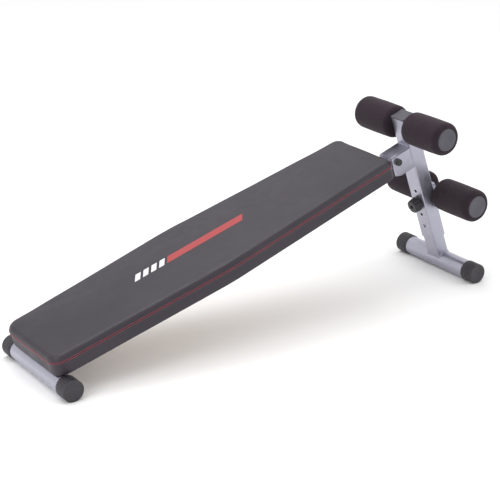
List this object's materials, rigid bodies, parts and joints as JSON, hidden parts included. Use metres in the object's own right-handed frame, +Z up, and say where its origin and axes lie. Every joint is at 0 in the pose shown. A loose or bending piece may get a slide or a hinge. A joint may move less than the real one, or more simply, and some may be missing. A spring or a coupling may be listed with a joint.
{
  "type": "decline sit up bench",
  "caption": "Decline sit up bench with a long tapered pad, a folding telescoping leg with a locking knob, and foam leg rollers.",
  "frame": {"origin": "on the floor under the middle of the bounding box", "axes": "+X from the low foot to the roller end, +Y across the bench to its left side, +Z up"},
  "size_m": [1.2454, 0.324, 0.459],
  "materials": {
    "pad_vinyl": "satin",
    "roller_foam_black": "matte",
    "silver_paint": "satin",
    "black_plastic": "matte",
    "grey_plastic": "satin",
    "nylon": "satin",
    "zinc_steel": "satin",
    "plywood": "matte"
  },
  "bodies": {
    "bench_frame": {"pad_cushion": "pad_vinyl", "pad_board": "plywood", "pad_t_nuts": "zinc_steel", "pad_bolts": "zinc_steel", "pad_plate_low": "silver_paint", "pad_plate_high": "silver_paint", "main_tube": "silver_paint", "main_tube_sleeve": "zinc_steel", "low_foot_tube": "silver_paint", "low_foot_cap_left": "black_plastic", "low_foot_cap_right": "black_plastic"},
    "upright": {"upright_tube": "silver_paint", "upright_plug": "grey_plastic", "pivot_bracket": "silver_paint", "pivot_bolt": "zinc_steel", "pivot_nut": "zinc_steel", "pivot_washers": "zinc_steel", "pivot_spacers": "nylon", "pivot_bolt_cap_left": "black_plastic", "pivot_bolt_cap_right": "black_plastic", "lower_axle_bracket": "silver_paint", "lock_nut_plate": "zinc_steel", "top_axle": "silver_paint", "top_axle_washers": "nylon", "axle_cap_top_left": "grey_plastic", "axle_cap_top_right": "grey_plastic", "lower_axle": "silver_paint", "lower_axle_washers": "nylon", "axle_cap_lower_left": "grey_plastic", "axle_cap_lower_right": "grey_plastic"},
    "inner_leg": {"high_foot_tube": "silver_paint", "high_foot_cap_left": "black_plastic", "high_foot_cap_right": "black_plastic", "inner_leg_tube": "silver_paint", "inner_leg_plug": "black_plastic"},
    "knob_washer": {"knob_washer": "zinc_steel"},
    "knob": {"knob_grip": "black_plastic", "knob_stud": "zinc_steel"},
    "roller_top_left": {"roller_core_top_left": "nylon", "roller_foam_top_left": "roller_foam_black"},
    "roller_top_right": {"roller_core_top_right": "nylon", "roller_foam_top_right": "roller_foam_black"},
    "roller_lower_left": {"roller_core_lower_left": "nylon", "roller_foam_lower_left": "roller_foam_black"},
    "roller_lower_right": {"roller_core_lower_right": "nylon", "roller_foam_lower_right": "roller_foam_black"}
  },
  "joints": [
    {"name": "leg_fold", "type": "hinge", "parent": "bench_frame", "child": "upright", "pos_m": [0.41998, 0, 0.33221], "axis": [0, 1, 0], "range_deg": [0, 90]},
    {"name": "leg_adjust", "type": "slide", "parent": "upright", "child": "inner_leg", "axis": [0.3272, 0, -0.9449], "range_m": [-0.0367, 0.0734]},
    {"name": "roller_top_left_spin", "type": "hinge", "parent": "upright", "child": "roller_top_left", "pos_m": [0.46106, 0, 0.41681], "axis": [0, 1, 0], "continuous": true},
    {"name": "roller_top_right_spin", "type": "hinge", "parent": "upright", "child": "roller_top_right", "pos_m": [0.46106, 0, 0.41681], "axis": [0, 1, 0], "continuous": true},
    {"name": "roller_lower_left_spin", "type": "hinge", "parent": "upright", "child": "roller_lower_left", "pos_m": [0.57363, 0, 0.21917], "axis": [0, 1, 0], "continuous": true},
    {"name": "roller_lower_right_spin", "type": "hinge", "parent": "upright", "child": "roller_lower_right", "pos_m": [0.57363, 0, 0.21917], "axis": [0, 1, 0], "continuous": true},
    {"name": "knob_travel", "type": "slide", "parent": "upright", "child": "knob_washer", "axis": [-0.9449, 0, -0.3272], "range_m": [0, 0.00875]},
    {"name": "knob_turn", "type": "hinge", "parent": "knob_washer", "child": "knob", "pos_m": [0.51635, 0, 0.19605], "axis": [-0.9449, 0, -0.3272], "range_deg": [0, 2520]}
  ],
  "couplings": [
    {"joint": "knob_travel", "follows": "knob_turn", "m_per_rad": 0.00019894}
  ]
}
